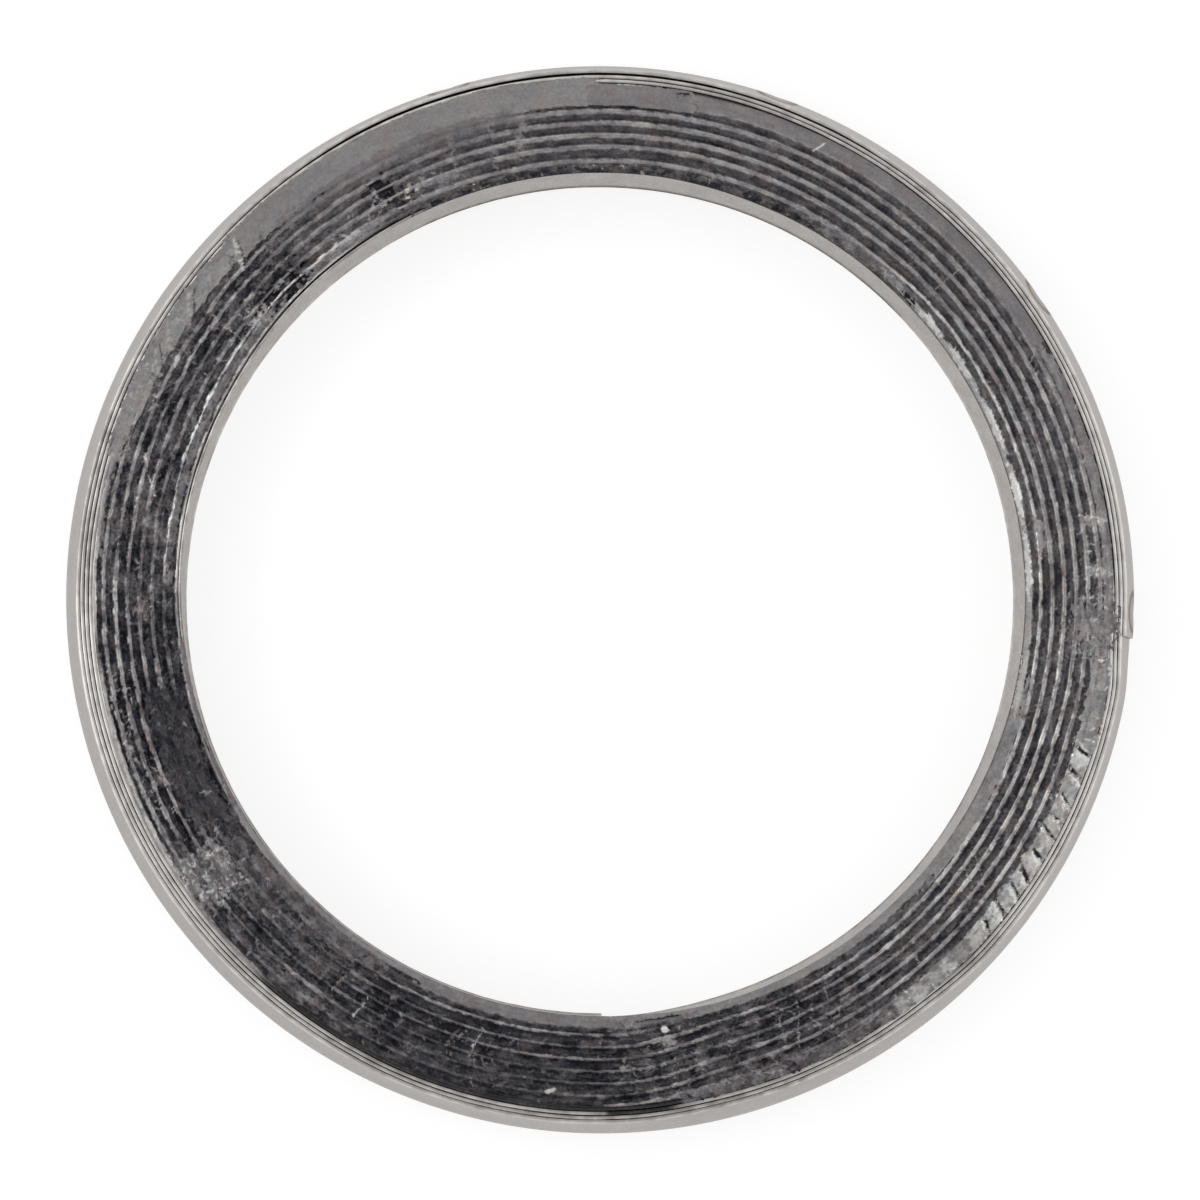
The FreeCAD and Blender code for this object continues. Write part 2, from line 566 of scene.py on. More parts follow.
@dataclass(frozen=True)
class Pleats:
    """A row of small folds squeezed into the outer smear, with dark slits between them or without. Each
    fold's facet is painted lighter as its lit side; where slits are asked for, a painted highlight runs
    along its crest and a slit of painted shade beside it.

    spacing and lean are degrees, the tones lie between dull and bright, and slit is a slit's width.
    """

    start: float
    end: float
    inner: float
    outer: float
    spacing: float
    lean: float
    dull: float
    bright: float
    slit: float
    seed: int = 3

    def marks(self) -> list[Mark | Blotch]:
        """Each fold as a facet painted light as its lit side, with a painted highlight along its crest and
        a slit of painted shade beside it if slits are asked for.
        """
        dice = np.random.default_rng(self.seed)
        middle, half = (self.inner + self.outer) / 2, (self.outer - self.inner) / 2
        along = math.radians(self.spacing) * middle * 0.45
        made: list[Mark | Blotch] = []
        for fold in range(int((self.end - self.start) / self.spacing)):
            clock = self.start + (fold + dice.uniform(0.3, 0.7)) * self.spacing
            lean = self.lean * dice.uniform(0.5, 1.4)
            sheen = dice.uniform(self.dull, self.bright)
            facet = clock + self.spacing * 0.5
            made.append(Blotch(facet, middle, along, half * 0.9, sheen, 0.02, 0.9, 0.45, -12.0, 0.7))
            if self.slit:
                inner, outer = self.inner + dice.uniform(0, 0.35), self.outer - dice.uniform(0, 0.25)
                crest = clock + dice.uniform(0.35, 0.55)
                width = self.slit * dice.uniform(0.6, 1.3)
                # light is the painted highlight along a crest, dark the painted shade in a slit.
                light, dark = (0.13, 0.98, 0.03, 0.9, 0.10, 0.8), (width, 0.13, -0.05, 1.0, 0.05, 0.5)
                made.append(Mark(crest, inner, crest + lean, outer - 0.2, *light))
                made.append(Mark(clock, inner, clock + lean, outer, *dark))
        return made


@dataclass(frozen=True)
class Scatter:
    """Random scratches or creases over a part of the face, between two lengths and two tones."""

    start: float
    end: float
    inner: float
    outer: float
    count: int
    shortest: float
    longest: float
    dull: float
    bright: float
    width: float = 0.06
    seed: int = 5

    def marks(self) -> list[Mark]:
        """The scratches, each with its own place, length, direction and tone."""
        dice = np.random.default_rng(self.seed)
        made = []
        for _ in range(self.count):
            clock = self.start + dice.uniform(0, (self.end - self.start) % TURN)
            radius = dice.uniform(self.inner, self.outer)
            length, turned = dice.uniform(self.shortest, self.longest), dice.uniform(0, math.pi)
            to_clock = clock + math.degrees(length * math.cos(turned) / radius)
            to_radius = radius + length * math.sin(turned)
            width = self.width * dice.uniform(0.7, 1.4)
            sheen = dice.uniform(self.dull, self.bright)
            made.append(Mark(clock, radius, to_clock, to_radius, width, sheen, 0.012, 0.9, 0.10, 0.9))
        return made


@dataclass(frozen=True)
class Wear:
    """Everything that has been rubbed, pressed or scratched into a face of the gasket."""

    smears: Sequence[Smear]
    groups: Sequence[Pleats | Scatter]
    marks: Sequence[Mark | Blotch]

    def all_marks(self) -> list[Mark | Blotch]:
        """The marks of every group, then the single ones."""
        return [mark for group in self.groups for mark in group.marks()] + list(self.marks)


@dataclass
class Relief:
    """The graphite over a grid: height above the face's own plane in millimetres, tone and crinkle."""

    height: Array
    burnish_and_painted_light: Array
    crinkle: Array


@dataclass(frozen=True)
class FaceNoise:
    """Noise over a grid on the face, from broad swells to fine streaks."""

    broad: Array
    patch: Array
    streaky: Array
    fine: Array
    scallop: Array
    pitted: Array

    @classmethod
    def over(cls, clock: Array, radius: Array) -> "FaceNoise":
        """The noise at each point of a grid."""
        grains = (
            Grain(11, 48, 0.7, 3),
            Grain(14, 150, 1.6, 3),
            Grain(12, 400, 4.0, 2),
            Grain(13, 900, 6.0, 2),
            Grain(18, 760, 3.0, 1),
            Grain(17, 300, 3.0, 2),
        )
        return cls(*(grain.at(clock, radius) for grain in grains))


@dataclass(frozen=True)
class GraphiteFace:
    """The relief and tone of the graphite on one face, rubbing and painted light together, as functions
    of clock angle and radius.

    valley and bare_floor are the heights of the floor between filled and between bare turns, and
    turned the degrees by which the skin's patterns are moved on.
    """

    winding: Winding
    wear: Wear
    valley: float = -0.11
    bare_floor: float = -0.45
    bounds: tuple[float, float] = (-0.6, 0.12)
    turned: float = 0.0
    splayed: bool = True

    def relief(self, clock: Array, radius: Array) -> Relief:
        """Relief of the face.

        The floor between turns lies below the face and rises over each turn's edge, with a painted shadow
        beside each ridge. The ridges there wander, widen and fade with noise along the turn. Crumpled
        patches and pits come next. Under the bare turns the floor is painted dark as shade. Smears then
        lift the floor over the ridges, pleats fold it, and marks scratch or raise it; some marks are
        painted highlights, others painted shade.

        Args:
            clock: clock angles in degrees, one row each.
            radius: radii in millimetres, one column each.

        Returns:
            Height, tone, rubbing and painted light together, and crinkle, in the broadcast shape.
        """
        placed = clock + self.turned
        noise = FaceNoise.over(placed, radius)
        height, burnish_and_painted_light, ridge = self._wound(clock, radius, noise)
        crinkle = skin_value("crinkle", placed)
        height, burnish_and_painted_light = self._crumpled(height, burnish_and_painted_light, ridge, crinkle, noise)
        # Painted shade: the floor under the bare turns takes the darkest tone, for the deep gaps between
        # them.
        bare = self.bare_zones(placed, radius)
        height = blended(height, self.bare_floor, bare)
        burnish_and_painted_light = blended(burnish_and_painted_light, Sheen.PAINTED_SHADE.value, bare)
        for smear in self.wear.smears:
            cover = smear.mask(placed, radius, noise.fine * 0.5 + noise.streaky * 0.6)
            pressed = 0.022 + 0.006 * noise.broad + 0.003 * noise.fine
            height = blended(height, pressed, np.minimum(cover * 1.5, 1))
            burnish_and_painted_light = blended(burnish_and_painted_light, smear.sheen + 0.02 * noise.broad + 0.008 * noise.streaky, cover)
            burnish_and_painted_light = burnish_and_painted_light + smear.rim * cover * (1 - cover) * 4
            crinkle = blended(crinkle, smear.crinkle, cover)
        for mark in self.wear.all_marks():
            low, high = mark.reach()
            offset = past(placed[:, 0], mark.clock)
            near = np.flatnonzero((offset > low) & (offset < high))
            if len(near):
                cover = mark.mask(placed[near], radius[near], noise.fine[near], noise.streaky[near])
                cover = cover * mark.cover
                height[near] += cover * mark.lift
                burnish_and_painted_light[near] += cover * (mark.sheen - burnish_and_painted_light[near])
        return Relief(np.clip(height, *self.bounds), np.clip(burnish_and_painted_light, 0, 1), crinkle)

    def _wound(self, clock: Array, radius: Array, noise: FaceNoise) -> tuple[Array, Array, Array]:
        """The floor between turns, the ridges over their edges and a painted shadow beside each ridge.

        Returns:
            Height, tone, and how much of a ridge each point is.
        """
        away, turn = self.winding.nearest_turn(clock, radius, self.splayed)
        placed = clock + self.turned
        along_turn = RIDGE_SWELL.along(placed, turn)
        fading = RIDGE_FADING.along(placed, turn)
        half, broken = skin_value("ridge_half", placed), skin_value("broken", placed)
        uneven = eased((half - 0.10) / 0.04) * np.tanh(-away / 0.06)
        rub_tone, rub_width = rubbed(turn, placed)
        rough = eased(broken * 4 - 0.8)
        swell = (1 + (0.06 + 0.28 * rough) * along_turn) * (1 + 0.25 * uneven)
        half = half * rub_width * swell + 0.015 * noise.fine
        soft = skin_value("ridge_soft", placed) * (1 + 0.6 * uneven)
        shown = np.clip(1 + broken * (1.5 * fading - 0.15), 1 - broken, 1)
        edge = half + 0.02 * noise.streaky + (0.022 + 0.022 * rough) * noise.scallop
        ridge = eased((edge - np.abs(away)) / soft + 0.5) * shown
        floor = self.valley + 0.012 * noise.broad + 0.010 * noise.streaky
        height = blended(floor, 0.012 + 0.004 * noise.streaky, np.exp(-((away / 0.15) ** 4)))
        # Painted shadow: a thin dark line along the outer side of each ridge.
        ridge_shadow = np.exp(-(((away - half - 0.10) / 0.08) ** 2))
        burnish_and_painted_light = skin_value("tone", placed) + 0.040 * noise.patch + 0.02 * noise.broad
        burnish_and_painted_light = burnish_and_painted_light + 0.03 * noise.streaky - 0.075 * ridge_shadow
        burnish_and_painted_light = burnish_and_painted_light + 0.04 * eased((radius - 30.8) / 1.2) + 0.05 * eased((28.5 - radius) / 0.4)
        # The ridges are lighter than the floor partly because the graphite over the steel edges is rubbed,
        # and partly as a painted sheen on the crests.
        crest = rub_tone * (1 + (0.07 + 0.08 * rough) * along_turn)
        crest = crest + 0.04 * noise.streaky + 0.02 * noise.fine
        return height, blended(burnish_and_painted_light, crest, ridge), ridge

    def _crumpled(
        self, height: Array, burnish_and_painted_light: Array, ridge: Array, crinkle: Array, noise: FaceNoise
    ) -> tuple[Array, Array]:
        """Height and tone with crumpled patches and dark pits where the skin is crinkled."""
        patches = eased((noise.patch * 0.8 + noise.broad * 0.5 - 0.42) / 0.25)
        crumpled = patches * eased(crinkle * 1.4 - 0.3)
        burnish_and_painted_light = blended(burnish_and_painted_light, 0.36 + 0.12 * noise.streaky + 0.06 * noise.fine, crumpled * 0.5)
        pits = eased((noise.pitted - 0.45) / 0.25) * eased(crinkle * 1.5 - 0.3)
        burnish_and_painted_light = blended(burnish_and_painted_light, 0.12, pits * 0.5 * (1 - ridge * 0.7))
        return height + crumpled * (0.02 + 0.03 * noise.streaky), burnish_and_painted_light

    def bare_zones(self, clock: Array, radius: Array) -> Array:
        """1 over the bare turns at the rim and bore, where uncovered graphite lies far below and is painted
        dark as shade.
        """
        rim_edge, bore_edge = (32.66, 27.42) if self.splayed else (32.80, 27.42)
        rim = eased((radius - leaning(RIM_LEANS, clock) * self.splayed - rim_edge) / 0.10 + 0.5)
        bore = eased((bore_edge + leaning(BORE_LEANS, clock) * self.splayed - radius) / 0.10 + 0.5)
        return np.maximum(rim, bore)


def ring_points(clock: Array, radius: Array, height: Array) -> Array:
    """Places in millimetres, one row each, from clock angles in degrees, radii and heights."""
    turned = np.radians(clock)
    return np.stack([radius * np.sin(turned), radius * np.cos(turned), height], -1).reshape(-1, 3)


def smooth_mesh(
    name: str, vertices: Array, quads: Array, caps: Sequence[Array] = ()
) -> bpy.types.Object:
    """An object from arrays, smooth shaded with sharp edges over SHARP_ANGLE degrees.

    Args:
        name: name of the object and its mesh.
        vertices: corner places in millimetres, one row each.
        quads: corner numbers of the four-sided faces, one row each.
        caps: corner numbers of each many-sided end face.

    Returns:
        The object, linked to the scene with its place in its mesh.
    """
    mesh = bpy.data.meshes.new(name)
    loops = np.concatenate([quads.ravel(), *caps]).astype(np.int32)
    counts = np.concatenate([np.full(len(quads), 4), [len(cap) for cap in caps]]).astype(np.int32)
    starts = np.concatenate([[0], np.cumsum(counts)[:-1]]).astype(np.int32)
    mesh.vertices.add(len(vertices))
    mesh.vertices.foreach_set("co", (vertices * MM).astype(np.float32).ravel())
    mesh.loops.add(len(loops))
    mesh.loops.foreach_set("vertex_index", loops)
    mesh.polygons.add(len(counts))
    mesh.polygons.foreach_set("loop_start", starts)
    mesh.polygons.foreach_set("loop_total", counts)
    mesh.update(calc_edges=True)
    mesh.validate()
    mesh.set_sharp_from_angle(angle=math.radians(SHARP_ANGLE))
    made = bpy.data.objects.new(name, mesh)
    bpy.context.scene.collection.objects.link(made)
    return made


def set_attribute(made: bpy.types.Object, name: str, values: Array) -> None:
    """Store one number per vertex under a name that the materials read."""
    layer = made.data.attributes.new(name, "FLOAT", "POINT")
    layer.data.foreach_set("value", values.astype(np.float32).ravel())


def set_uv(made: bpy.types.Object, clock: Array, across: Array) -> None:
    """Lay the UV map: millimetres along the winding, from the clock angle, and across it."""
    along = np.broadcast_to(np.radians(clock) * MEAN_RADIUS, across.shape)
    layer = made.data.uv_layers.new(name="winding")
    corner = np.zeros(len(made.data.loops), np.int32)
    made.data.loops.foreach_get("vertex_index", corner)
    pairs = np.stack([along.ravel(), across.ravel()], 1)[corner]
    layer.data.foreach_set("uv", pairs.astype(np.float32).ravel())


def tube_quads(rings: int, around: int) -> Array:
    """Faces of a tube: each ring of points joined to the next, and its last point to its first."""
    i = np.arange(rings - 1)[:, None] * around
    j = np.arange(around)[None, :]
    k = (j + 1) % around
    return np.stack([i + j, i + around + j, i + around + k, i + k], -1).reshape(-1, 4)


@dataclass(frozen=True)
class Nodes:
    """The node tree of a material or a world, with short ways to add to it."""

    tree: bpy.types.NodeTree

    def feed(self, socket: Socket, value: Value | Triple) -> None:
        """Link an input from another node's output, or give it a plain value."""
        if isinstance(value, Socket):
            self.tree.links.new(value, socket)
        else:
            socket.default_value = value

    def add(
        self, kind: str, inputs: dict[str | int, Value | Triple] | None = None, **options: object
    ) -> bpy.types.Node:
        """A new node.

        Args:
            kind: the node's type without ShaderNode, the word that begins it.
            inputs: what goes into its inputs, each under its name or number.
            options: its properties.

        Returns:
            The node.
        """
        made = self.tree.nodes.new("ShaderNode" + kind)
        for key, value in options.items():
            setattr(made, key, value)
        for key, value in (inputs or {}).items():
            self.feed(made.inputs[key], value)
        return made

    def math(self, operation: str, *values: Value) -> Socket:
        """A math node on sockets or numbers."""
        return self.add("Math", dict(enumerate(values)), operation=operation).outputs["Value"]

    def scaled(self, value: Value, factor: float, shift: Value) -> Socket:
        """value times factor, plus shift."""
        return self.math("MULTIPLY_ADD", value, factor, shift)

    def held(self, value: Value) -> Socket:
        """value, held between 0 and 1."""
        return self.math("MINIMUM", self.math("MAXIMUM", value, 0.0), 1.0)

    def attribute(self, name: str) -> Socket:
        """The number that a mesh stores per vertex under a name."""
        return self.add("Attribute", attribute_name=name).outputs["Fac"]

    def coordinates(self) -> tuple[Socket, Socket]:
        """Places in the object, in metres, and along and across the winding, in millimetres."""
        outputs = self.add("TexCoord").outputs
        return outputs["Object"], outputs["UV"]

    def noise(self, vector: Socket, scale: float, detail: float, rough: float = 0.55) -> Socket:
        """A noise texture on some coordinates."""
        inputs = {"Scale": scale, "Detail": detail, "Roughness": rough, "Vector": vector}
        return self.add("TexNoise", inputs).outputs["Fac"]

    def stretched(self, vector: Socket, scale: Triple) -> Socket:
        """Coordinates scaled unevenly, so that a pattern is drawn out along the winding."""
        return self.add("Mapping", {"Scale": scale, "Vector": vector}).outputs["Vector"]

    def ramp(self, value: Socket, stops: Stops) -> Socket:
        """A colour ramp through some stops."""
        made = self.add("ValToRGB", {"Fac": value})
        elements = made.color_ramp.elements
        for element, (place, colour) in ((elements[0], stops[0]), (elements[-1], stops[-1])):
            element.position, element.color = place, (*colour, 1.0)
        for place, colour in stops[1:-1]:
            elements.new(place).color = (*colour, 1.0)
        return made.outputs["Color"]

    def tinted(self, colour: Socket, tint: Socket) -> Socket:
        """Two colours multiplied."""
        inputs = {"Factor": 1.0, "A": colour, "B": tint}
        return self.add("Mix", inputs, data_type="RGBA", blend_type="MULTIPLY").outputs["Result"]

    def bump(self, height: Socket, strength: float, distance: float) -> Socket:
        """The surface normal, bumped by a height."""
        inputs = {"Strength": strength, "Distance": distance, "Height": height}
        return self.add("Bump", inputs).outputs["Normal"]


@dataclass(frozen=True)
class Finish:
    """A surface finish made of shader nodes. Each kind says what goes into the principled shader."""

    name: str

    def build(self) -> bpy.types.Material:
        """The finish as a material."""
        material = bpy.data.materials.new(self.name)
        material.use_nodes = True
        shader = material.node_tree.nodes["Principled BSDF"]
        nodes = Nodes(material.node_tree)
        for name, value in self.inputs(nodes).items():
            nodes.feed(shader.inputs[name], value)
        return material

    def inputs(self, nodes: Nodes) -> dict[str, Value | tuple[float, ...]]:
        """What goes into the principled shader, each under its input's name."""
        raise NotImplementedError


@dataclass(frozen=True)
class BurnishedGraphite(Finish):
    """Flexible graphite: dark and mottled where raw, satin where pressed, silvery where rubbed, with
    painted sheen, highlights and shade in its colour.
    """

    name: str = "burnished_graphite"
    cool: Triple = (0.955, 0.97, 1.085)
    violet: Triple = (1.02, 0.985, 1.0)
    warm: Triple = (1.01, 1.0, 0.985)
    hues: Stops = ((0.34, (1.0, 0.935, 0.92)), (0.50, WHITE), (0.62, (0.94, 0.97, 1.0)))

    def stops(self) -> Stops:
        """Ramp stops that turn a tone into the linear colour that shows as that tone.

        The colour is the tone to the power 2.2, tinted cool where dark, violet in the middle and
        warm where bright.
        """
        made = []
        for tone in (0.04, 0.12, 0.20, 0.30, 0.40, 0.50, 0.62, 0.78, 1.0):
            tint = self.cool if tone < 0.25 else self.violet if tone < 0.55 else self.warm
            made.append((tone, tuple(min(tone * part, 1.0) ** 2.2 for part in tint)))
        return made

    def inputs(self, nodes: Nodes) -> dict[str, Value]:
        """The tone attribute, rubbing and painted light together, worked over by noise and crinkles, runs
        through a ramp of greys.

        Mottles and specks are noise on the object's own coordinates. Rub marks are noise drawn out
        along the winding's UV. Crinkles are the light borders of warped cells in that same UV, broken
        up by more noise. The crinkle attribute sets how strong mottles and crinkles are.
        """
        body, winding = nodes.coordinates()
        burnish_and_painted_light, crinkle = nodes.attribute("burnish_and_painted_light"), nodes.attribute("crinkle")
        speckle = nodes.noise(body, 5000.0, 3.0, 0.65)
        patch = nodes.noise(body, 1300.0, 3.0, 0.5)
        rub = nodes.noise(nodes.stretched(winding, (0.8, 7.0, 1.0)), 1.0, 3.0, 0.6)
        facets, borders = self.facets(nodes, body, winding)
        mottled = nodes.scaled(facets, 0.18, nodes.math("ADD", nodes.scaled(patch, 0.28, -0.14), -0.09))
        mottled = nodes.math("MULTIPLY", mottled, nodes.scaled(crinkle, 0.90, 0.10))
        specks = nodes.scaled(speckle, 0.44, -0.22)
        specks = nodes.math("MULTIPLY", specks, nodes.scaled(crinkle, 0.65, 0.35))
        lines = nodes.math("MULTIPLY", borders, nodes.math("MULTIPLY", crinkle, 0.20))
        tone = burnish_and_painted_light
        for part in (mottled, nodes.scaled(rub, 0.08, -0.04), specks, lines):
            tone = nodes.math("ADD", tone, part)
        hue = nodes.ramp(nodes.noise(body, 900.0, 3.0, 0.6), self.hues)
        return {
            "Base Color": nodes.tinted(nodes.ramp(tone, self.stops()), hue),
            "Roughness": nodes.scaled(tone, -0.30, 0.60),
            "Metallic": 0.6,
            "Specular IOR Level": 0.2,
            "Normal": nodes.bump(tone, 0.4, 0.00012),
        }

    def facets(self, nodes: Nodes, body: Socket, winding: Socket) -> tuple[Socket, Socket]:
        """Crumpled facets: warped cells of about 0.6 by 0.3 mm, drawn out along the winding.

        Args:
            nodes: the material's nodes.
            body: coordinates of the object.
            winding: coordinates along and across the winding.

        Returns:
            A random value per cell, and thin lines along some of the borders between cells.
        """
        flat = nodes.stretched(winding, (1.6, 3.2, 1.0))
        warp = nodes.add("TexNoise", {"Scale": 1.1, "Detail": 2.0, "Vector": flat}).outputs["Color"]
        moved = nodes.add("VectorMath", {0: warp, 1: (1.2, 1.2, 0.0), 2: flat}, operation="MULTIPLY_ADD")
        inputs = {"Scale": 1.0, "Vector": moved.outputs["Vector"]}
        cell, edge = (
            nodes.add("TexVoronoi", inputs, feature=feature, voronoi_dimensions="2D").outputs
            for feature in ("F1", "DISTANCE_TO_EDGE")
        )
        split = nodes.add("SeparateColor", {"Color": cell["Color"]})
        border = nodes.math("MAXIMUM", nodes.scaled(edge["Distance"], -9.0, 1.0), 0.0)
        kept = nodes.held(nodes.scaled(nodes.noise(body, 600.0, 2.0), 5.0, -2.6))
        return split.outputs["Red"], nodes.math("MULTIPLY", border, kept)


@dataclass(frozen=True)
class RolledSteel(Finish):
    """Bare stainless strip: fine rolling lines along it, with brighter rubbed edges.

    stops turn a tone into steel's colour, from near black, painted shade in gaps, over plain to a rubbed
    edge. tints turn the nearness of a spot weld into its heat tint, whose brown ring of scale lies about
    ring.
    """

    name: str = "rolled_steel"
    stops: Stops = ((0.0, (0.05, 0.048, 0.05)), (0.5, (0.345, 0.325, 0.312)), (1.0, (0.72, 0.695, 0.67)))
    tints: Stops = (
        (0.0, WHITE),
        (0.06, (1.0, 0.96, 0.90)),
        (0.14, (0.44, 0.29, 0.18)),
        (0.30, (0.48, 0.33, 0.23)),
        (0.42, (0.80, 0.75, 0.72)),
        (0.65, (0.78, 0.80, 0.86)),
        (1.0, (0.70, 0.72, 0.78)),
    )
    ring: float = 0.22

    def inputs(self, nodes: Nodes) -> dict[str, Value]:
        """The rub attribute, rubbing with painted light and shade, worked over by noise, sets the colour,
        and the weld one tints it.
        """
        body, winding = nodes.coordinates()
        rub, heat = nodes.attribute("rub"), nodes.attribute("weld")
        lines = nodes.noise(nodes.stretched(winding, (0.25, 22.0, 1.0)), 1.0, 4.0, 0.6)
        cloud, speck = nodes.noise(body, 700.0, 3.0), nodes.noise(body, 5200.0, 2.0)
        tone = nodes.math("ADD", rub, nodes.scaled(nodes.math("ADD", speck, cloud), 0.24, -0.24))
        tone = nodes.math("ADD", tone, nodes.scaled(lines, 0.10, -0.05))
        away = nodes.math("ABSOLUTE", nodes.math("SUBTRACT", heat, self.ring))
        scale = nodes.held(nodes.scaled(away, -9.0, 1.35))
        return {
            "Base Color": nodes.tinted(nodes.ramp(tone, self.stops), nodes.ramp(heat, self.tints)),
            "Specular IOR Level": 0.1,
            "Metallic": nodes.scaled(scale, -0.8, 1.0),
            "Roughness": nodes.scaled(cloud, 0.16, 0.28),
            "Normal": nodes.bump(lines, 0.20, 0.00001),
        }


@dataclass(frozen=True)
class PaleFloor(Finish):
    """A matt grey floor that glows only to what looks at it, so that it keeps a soft shadow."""

    name: str = "pale_floor"
    grey: float = 0.35
    glow: float = 0.74

    def inputs(self, nodes: Nodes) -> dict[str, Value | tuple[float, ...]]:
        """A glow for rays from the camera, a gloss or a glass, and plain grey for the rest."""
        path = nodes.add("LightPath").outputs
        seen = nodes.math("MAXIMUM", path["Is Camera Ray"], path["Is Glossy Ray"])
        seen = nodes.math("MAXIMUM", seen, path["Is Transmission Ray"])
        return {
            "Base Color": (self.grey, self.grey, self.grey, 1.0),
            "Roughness": 0.9,
            "Specular IOR Level": 0.0,
            "Emission Strength": nodes.math("MULTIPLY", seen, self.glow),
            "Emission Color": (*WHITE, 1.0),
        }


@dataclass(frozen=True)
class SpotWelds:
    """The welds that hold the last turn, counted back from the strip's end.

    The heat tint round each is taller than wide, so upright shortens distances up the section.
    """

    count: int = 4
    setback: float = 2.8
    spacing: float = 36.2
    diameter: float = 1.4
    depth: float = 0.05
    halo: float = 1.65
    upright: float = 0.72

    @property
    def core(self) -> float:
        """Radius of the pressed mark, as a share of the halo's."""
        return self.diameter / 2 / self.halo

    def nearness(self, running: Array, across: Array, winding: Winding) -> Array:
        """How near each point of the strip lies to a weld.

        Args:
            running: running angles along the strip.
            across: distance along the section from the ridge, in millimetres.
            winding: the spiral, for the strip's end and rim radius.

        Returns:
            1 at a weld's middle, falling straight to 0 at the edge of its halo.
        """
        rim = winding.radius(np.array([winding.end]))[0] + winding.vee_depth
        per_degree = math.radians(1) * rim
        nearest = np.full(np.broadcast(running, across).shape, FAR)
        for weld in range(self.count):
            place = winding.end - self.setback - weld * self.spacing
            nearest = np.minimum(nearest, np.hypot((running - place) * per_degree, across))
        return np.clip(1 - nearest / self.halo, 0, 1)


@dataclass
class StripTurns:
    """A run of turns of the stainless V strip, swept along the spiral.

    bare is the strip's thickness with a hairline left between turns that touch, flare how much
    thicker its edges are burred at the faces, and corner how far the edges' corners are cut back.
    side_gap keeps the patterns on the strip's two sides apart.
    """

    name: str
    winding: Winding
    first: float
    last: float
    samples_per_turn: int = 720
    bare: float = 0.174
    flare: float = 0.0
    corner: float = 0.03
    side_gap: float = 6.0
    heights: Sequence[float] = (0.03, 0.35, 1.1, 2.4, 2.65, 2.9, 4.2, 4.95, 5.27)
    welds: SpotWelds = field(default_factory=SpotWelds)

    def section(self) -> tuple[Array, Array, Array]:
        """The V section as a closed loop, bottom to top up its inner side and down its outer one.

        Returns:
            Offset from the strip's middle at the faces, height, and side (-1 inner, 1 outer, 0 edge).
        """
        w = self.winding
        heights = np.array(self.heights)
        lean = w.lean(heights)
        half = self.bare / 2 + self.flare / 2 * np.maximum(heights / w.height * 2 - 1, 0) ** 3
        low_lean, high_lean = w.lean(np.array([0.0, w.height]))
        edge = np.array([-1.0, 1.0])
        high_edge = high_lean + edge * (half[-1] - self.corner)
        low_edge = low_lean - edge * (half[0] - self.corner)
        offset = np.concatenate([lean - half, high_edge, (lean + half)[::-1], low_edge])
        tall = np.concatenate([heights, [w.height] * 2, heights[::-1], [0.0, 0.0]])
        ones = np.ones(len(heights))
        return offset, tall, np.concatenate([-ones, [0, 0], ones, [0, 0]])

    def sway(self, running: Array, height: Array) -> Array:
        """Sideways wander of the strip's edges, strongest at the faces and none at the ridge.

        The last turn also stands off a little at its upper edge beside the first welds, where a
        dark gap shows in front of it.
        """
        w = self.winding
        clock, turn = running % TURN, w.turn_at(running)
        share = np.abs(height / w.height * 2 - 1) ** 3
        outermost = eased((running - (w.end - TURN)) / 10)
        gap = leaning(LAST_TURN_LEANS, running) * outermost * eased((height - 3.6) / 1.2)
        splay = w.splay(turn, clock) * (height > w.height / 2)
        return (w.wander(turn, clock) + splay) * share + gap

    def rub(self, running: Array, height: Array) -> Array:
        """How light each point of the steel shows: 0.5 is plain steel, 1 a bright edge.

        Edges at the faces are rubbed bright in patches, as the runs of ridge tones say, and painted dark as
        shade where those runs are darkest. The innermost turn's flank, at the bore, is painted a little
        lighter as painted light.
        """
        w = self.winding
        clock, turn = running % TURN, w.turn_at(running)
        near_face = eased((height - (w.height - 0.12)) / 0.06) + eased((0.12 - height) / 0.06)
        patchy, broad = PATCHY_RUB.along(clock, turn), BROAD_RUB.along(clock, turn)
        bright = rubbed(turn, clock)[0] * 1.5 - 0.45 + 0.14 * patchy + 0.10 * broad
        # Painted light: the innermost turn's flank, at the bore, is a little lighter than the rest.
        flank = 0.5 + 0.09 * (turn < 1)
        return blended(flank, np.clip(bright, 0.02, 1.1), near_face)

    def build(self, finish: bpy.types.Material) -> bpy.types.Object:
        """Sweep the section along the spiral.

        Each point is the strip's radius plus the section's offset, straight out along its clock
        direction, at the section's height. Both ends are closed with a flat face.
        """
        w, welds = self.winding, self.welds
        steps = int(round((self.last - self.first) / TURN * self.samples_per_turn)) + 1
        running = np.linspace(self.first, self.last, steps)[:, None]
        offset, tall, side = (values[None, :] for values in self.section())
        across = np.hypot(tall - w.height / 2, w.lean(tall) - w.vee_depth)
        last_turn = eased((running - (w.end - TURN)) / 2)
        dent = np.clip(welds.nearness(running, across, w) - (1 - welds.core), 0, 1)
        radius = w.radius(running) + w.strip_thickness / 2 + offset + self.sway(running, tall)
        radius = radius - dent * last_turn * welds.depth / welds.core
        height = np.broadcast_to(tall, radius.shape)
        around = offset.size
        caps = [np.arange(around), np.arange(around)[::-1] + (steps - 1) * around]
        made = smooth_mesh(self.name, ring_points(running, radius, height), tube_quads(steps, around), caps)
        set_attribute(made, "rub", self.rub(running, height))
        tint = welds.nearness(running, across * welds.upright, w)
        set_attribute(made, "weld", tint * last_turn * np.maximum(side, 0))
        set_uv(made, running, np.broadcast_to(tall + side * self.side_gap, radius.shape))
        made.data.materials.append(finish)
        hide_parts("steel_strip")
        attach(made, "root")
        return made


